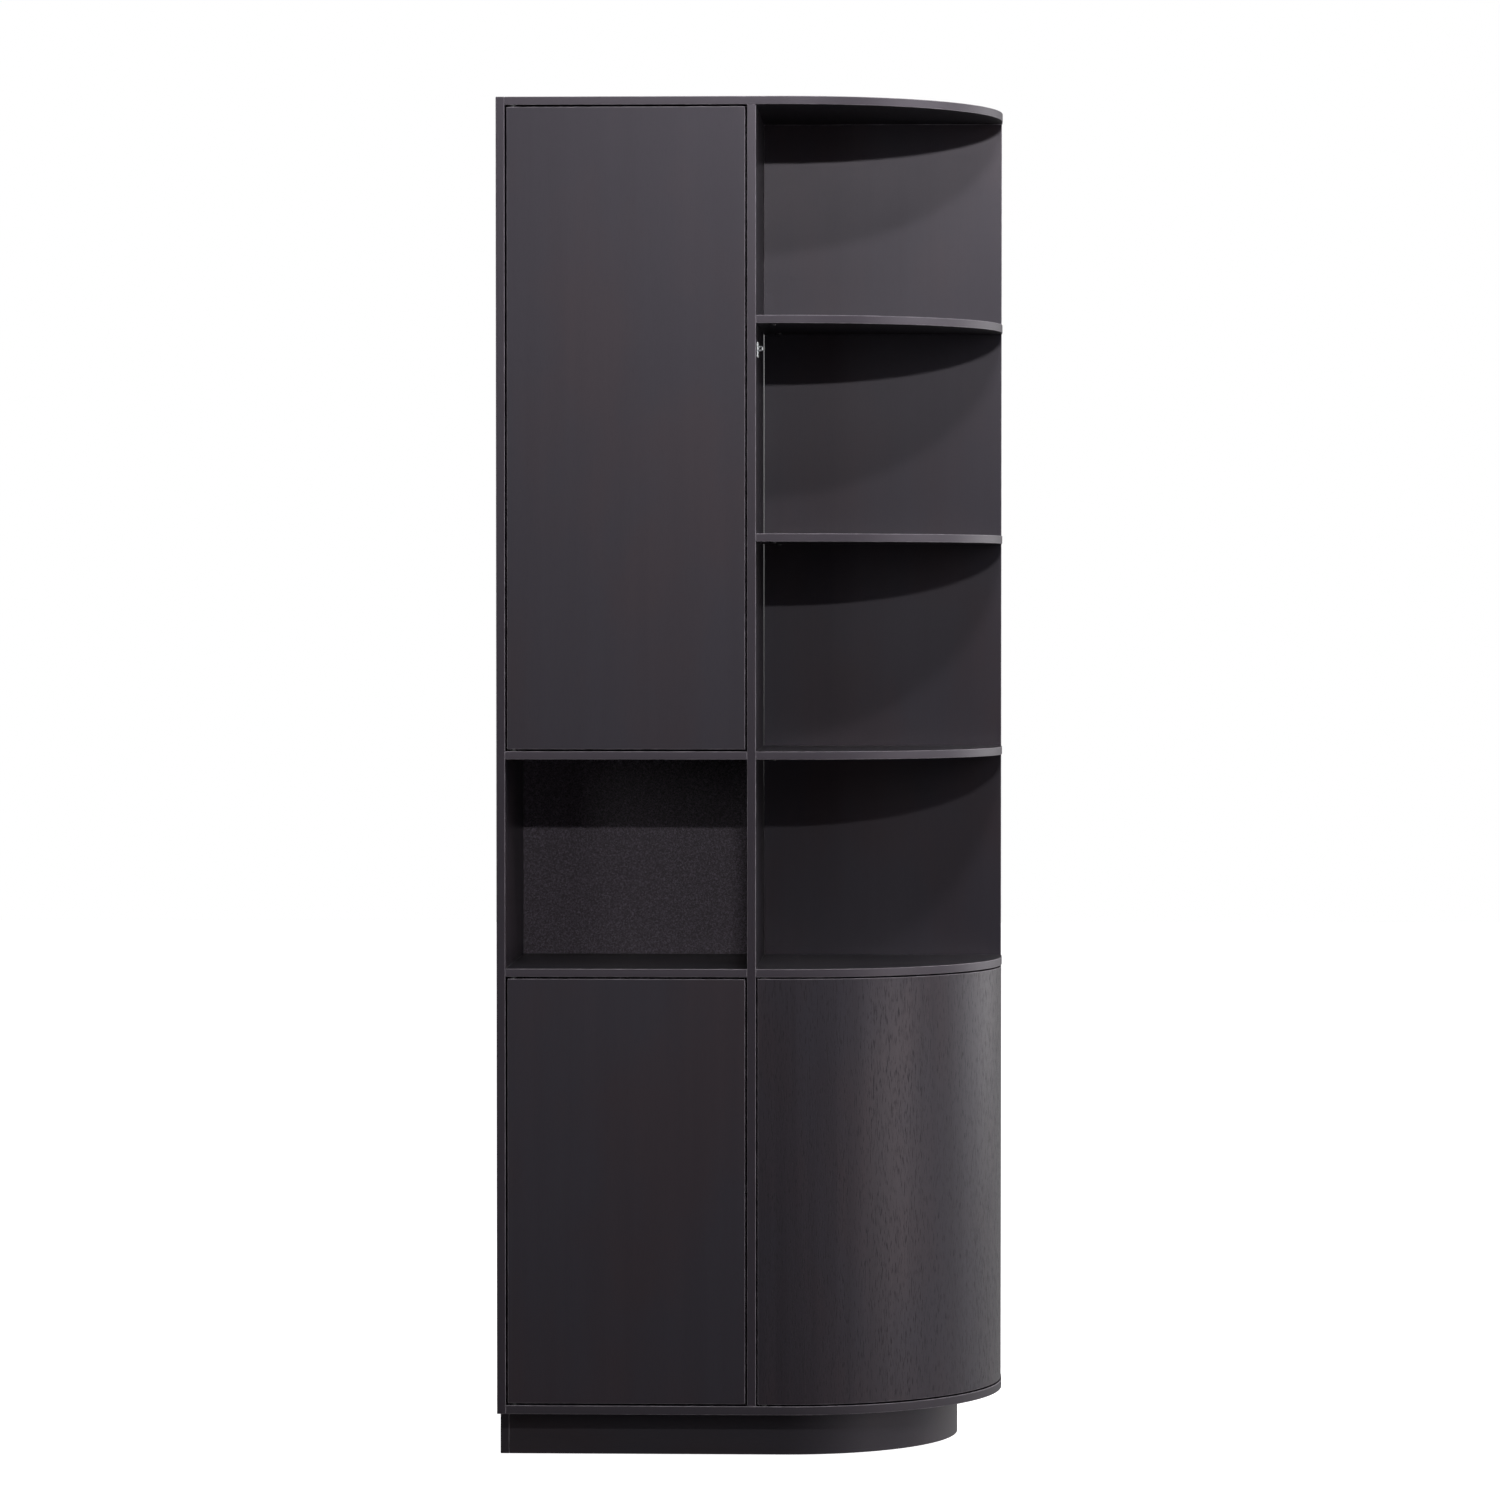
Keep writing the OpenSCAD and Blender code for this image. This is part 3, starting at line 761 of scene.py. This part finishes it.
@dataclass
class LatchSpring:
    """The coil behind the plunger of one push latch."""

    node: str
    body: str
    way: CoilWay
    wire: float = 0.9 * MM
    turns: int = 6
    steps: int = 28
    sides: int = 12

    def build(self, finishes: Finishes) -> bpy.types.Object:
        """Winds the coil in the space that its frame node has.

        Args:
            finishes: The cabinet's finishes.

        Returns:
            The coil.
        """
        low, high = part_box(self.node)
        axis = self.way.axis()
        middle = (low + high) / 2
        reach = (high.z - low.z - self.wire) / 2
        length = (high - low).dot(axis) - self.wire
        centre = middle - axis * length / 2
        bm = bmesh.new()
        bmesh.ops.create_circle(bm, cap_ends=False, segments=self.sides, radius=self.wire / 2)
        place = Matrix.Translation(centre + Vector((0, 0, reach)))
        stood = Matrix.Rotation(QUARTER_TURN, 4, self.way.value)
        bmesh.ops.transform(bm, matrix=place @ stood, verts=bm.verts)
        count = self.turns * self.steps
        bmesh.ops.spin(bm, geom=bm.verts[:] + bm.edges[:], cent=centre, axis=axis,
                       dvec=axis * length / count, angle=math.tau * self.turns, steps=count,
                       use_merge=False, use_duplicate=False)
        bmesh.ops.holes_fill(bm, edges=[e for e in bm.edges if e.is_boundary], sides=self.sides)
        bmesh.ops.recalc_face_normals(bm, faces=bm.faces)
        coil = to_object(bm, self.node + "_coil")
        shade(coil)
        dress(coil, finishes.get(SPRING_STEEL))
        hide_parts(self.node)
        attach(coil, self.body)
        LOG.info("%s: %d faces", coil.name, len(coil.data.polygons))
        return coil


@dataclass
class Fittings:
    """The fittings that keep their frame nodes' shapes: each node, with its finish."""

    nodes: Mapping[str, bpy.types.Object]
    finishes: Finishes

    def kinds(self) -> dict[str, Finish]:
        """Lists the fittings by name.

        Returns:
            Each frame node's name, with its finish.
        """
        listed: dict[str, Finish] = {
            "left_back_panel": BACK_PAINT,
            "plinth_glue_blocks": BEECH,
            "dowels": BEECH,
            "plinth_screws": ZINC,
            "back_panel_screws": ZINC,
            "latch_screws": ZINC,
            "bracket_screws": ZINC,
            "cam_discs": ZINC_CAST,
            "cam_bolts": ZINC_CAST,
            "cam_caps": CAP_PLASTIC,
            "shelf_pins": NICKEL,
            "eye_plate": BRIGHT_ZINC,
            "eye_plate_screws": BRIGHT_ZINC,
            "wall_brackets": BLACK_STEEL,
            "hinge_bushes": NYLON,
        }
        for side in ("upper", "lower", "round"):
            listed[f"{side}_door_pins"] = GROUND_STEEL
            listed[f"{side}_striker"] = ZINC
            listed[f"{side}_striker_screws"] = ZINC
            listed[f"{side}_latch_housing"] = LATCH_PLASTIC
            listed[f"{side}_latch_plunger"] = GROUND_STEEL
        return listed

    def build(self) -> None:
        """Dresses the frame's fittings, and winds the latch springs."""
        for name, finish in self.kinds().items():
            data = self.nodes[name].data
            data.materials.clear()
            data.materials.append(self.finishes.get(finish))
            LOG.info("%s: dressed in %s", name, finish.name)
        for side, way in (("upper", CoilWay.BACK), ("lower", CoilWay.BACK),
                          ("round", CoilWay.ACROSS)):
            spring = LatchSpring(f"{side}_latch_spring", f"{side}_plunger", way)
            spring.build(self.finishes)


# ---- studio ----


@dataclass
class Lamp:
    """One studio lamp: an area light that faces a point."""

    name: str
    place: tuple[float, float, float]
    target: tuple[float, float, float]
    size: tuple[float, float]
    power: float
    tint: str = "#ffffff"
    # Degrees over which the light fans out
    spread: float = 180.0

    def build(self) -> bpy.types.Object:
        """Hangs the lamp.

        Returns:
            The lamp's object.
        """
        lamp = bpy.data.lights.new(self.name, "AREA")
        lamp.shape = "RECTANGLE"
        lamp.size, lamp.size_y = self.size
        lamp.energy = self.power
        lamp.color = linear(self.tint)[:3]
        lamp.spread = math.radians(self.spread)
        made = bpy.data.objects.new(self.name, lamp)
        made.location = self.place
        aim = Vector(self.target) - Vector(self.place)
        made.rotation_euler = aim.to_track_quat("-Z", "Y").to_euler()
        made.visible_camera = False
        bpy.context.scene.collection.objects.link(made)
        return made


@dataclass
class Studio:
    """White surroundings, a pale floor, the lamps and the camera."""

    camera_place: tuple[float, float, float] = (0.307485, -9.17102, 1.354967)
    # Degrees up from level, and degrees to the left
    camera_pitch: float = -1.47762
    camera_yaw: float = 1.96146
    camera_lens: float = 136.95
    camera_sensor: float = 36.0
    camera_reach: float = 100.0
    floor_size: float = 30.0
    floor_drop: float = 0.2 * MM
    floor_fibre: float = 4 * MM
    floor_roughness: float = 0.9
    # The floor glows a little, so that it is as pale as the surroundings.
    floor_glow: float = 0.97
    lamps: tuple[Lamp, ...] = (
        Lamp("key_lamp", (0.45, -7.2, 3.30), (0.0, 0.0, 1.3), (0.6, 0.08), 64.0),
        Lamp("second_lamp", (0.5, -2.5, 3.42), (0.0, 0.0, 1.5), (0.5, 0.12), 30.0),
        Lamp("top_lamp", (0.6, -1.4, 3.6), (0.0, 0.0, 1.6), (1.4, 1.0), 30.0),
        Lamp("left_lamp", (-2.4, -6.5, 2.0), (0.0, 0.0, 1.1), (1.2, 2.0), 17.0),
        Lamp("side_lamp", (2.9, -1.0, 2.3), (0.3, 0.0, 1.1), (2.0, 1.6), 34.0),
        Lamp("low_side_lamp", (2.4, -1.4, 0.5), (0.2, -0.1, 0.4), (1.4, 0.8), 1.1,
             tint="#fffaf3", spread=60.0),
        Lamp("left_rim_lamp", (-2.4, 1.0, 1.7), (-0.4, 0.0, 1.1), (2.0, 2.4), 20.0),
        Lamp("rim_lamp", (2.6, 1.6, 1.5), (0.3, 0.1, 1.1), (2.0, 2.4), 22.0),
    )
    # How bright the surroundings are behind the cabinet and at its right
    behind: float = 0.26
    right: float = 0.5
    # How bright they are all round
    ambient: float = 0.006

    def camera(self) -> None:
        """Sets the camera up in front of the cabinet."""
        lens = bpy.data.cameras.new("camera")
        lens.lens = self.camera_lens
        lens.sensor_width = self.camera_sensor
        lens.clip_end = self.camera_reach
        made = bpy.data.objects.new("camera", lens)
        made.location = self.camera_place
        made.rotation_euler = Euler((math.radians(90 + self.camera_pitch), 0.0,
                                     math.radians(self.camera_yaw)))
        bpy.context.scene.collection.objects.link(made)
        bpy.context.scene.camera = made

    def surroundings(self) -> None:
        """Makes the white surroundings, which light the cabinet from behind and the right."""
        world = bpy.data.worlds.new("white_surroundings")
        bpy.context.scene.world = world
        world.use_nodes = True
        tree = world.node_tree
        tree.nodes.clear()
        way = add_node(tree, "TexCoord", {}).outputs["Generated"]
        split = add_node(tree, "SeparateXYZ", {0: way})
        glow = add_node(tree, "Math", {
            0: spread(tree, split.outputs[0], (0.1, 0.9), (self.ambient, self.right)),
            1: spread(tree, split.outputs[1], (-0.2, 0.6), (0.0, self.behind)),
        }, operation="ADD").outputs[0]
        lit = add_node(tree, "Background", {"Color": WHITE, "Strength": glow}).outputs[0]
        white = add_node(tree, "Background", {"Color": WHITE, "Strength": 1.0}).outputs[0]
        seen = add_node(tree, "LightPath", {}).outputs["Is Camera Ray"]
        both = add_node(tree, "MixShader", {0: seen, 1: lit, 2: white}).outputs[0]
        add_node(tree, "OutputWorld", {"Surface": both})

    def floor(self) -> None:
        """Lays the pale floor, which doesn't light the cabinet."""
        bm = bmesh.new()
        bmesh.ops.create_grid(bm, x_segments=1, y_segments=1, size=self.floor_size / 2)
        bmesh.ops.translate(bm, vec=(0, 0, -self.floor_drop), verts=bm.verts)
        laid = to_object(bm, "studio_floor")
        material, tree, shader = new_material("white_paper_floor")
        fibre = noise(tree, [self.floor_fibre] * 3, detail=2.0)
        shader.inputs["Roughness"].default_value = self.floor_roughness
        tree.links.new(blend(tree, fibre, linear("#f4f4f4"), linear("#fafafa")),
                       shader.inputs["Base Color"])
        shader.inputs["Emission Color"].default_value = WHITE
        shader.inputs["Emission Strength"].default_value = self.floor_glow
        laid.data.materials.append(material)
        laid.visible_diffuse = False
        laid.visible_glossy = False

    def build(self) -> None:
        """Builds the studio."""
        bpy.context.scene.view_settings.view_transform = "Standard"
        self.camera()
        self.surroundings()
        self.floor()
        for lamp in self.lamps:
            lamp.build()


def main() -> None:
    """Builds the cabinet round its frame and sets up the studio."""
    logging.basicConfig(level=logging.INFO, format="%(message)s")
    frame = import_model()
    finishes = Finishes()
    boards = EasedBoards(frame["nodes"])
    for part in (Carcass(boards, finishes), Plinth(boards, finishes), Doors(boards, finishes),
                 Fittings(frame["nodes"], finishes)):
        part.build()
        LOG.info("%s built", type(part).__name__)
    Studio().build()


if __name__ == "__main__":
    main()
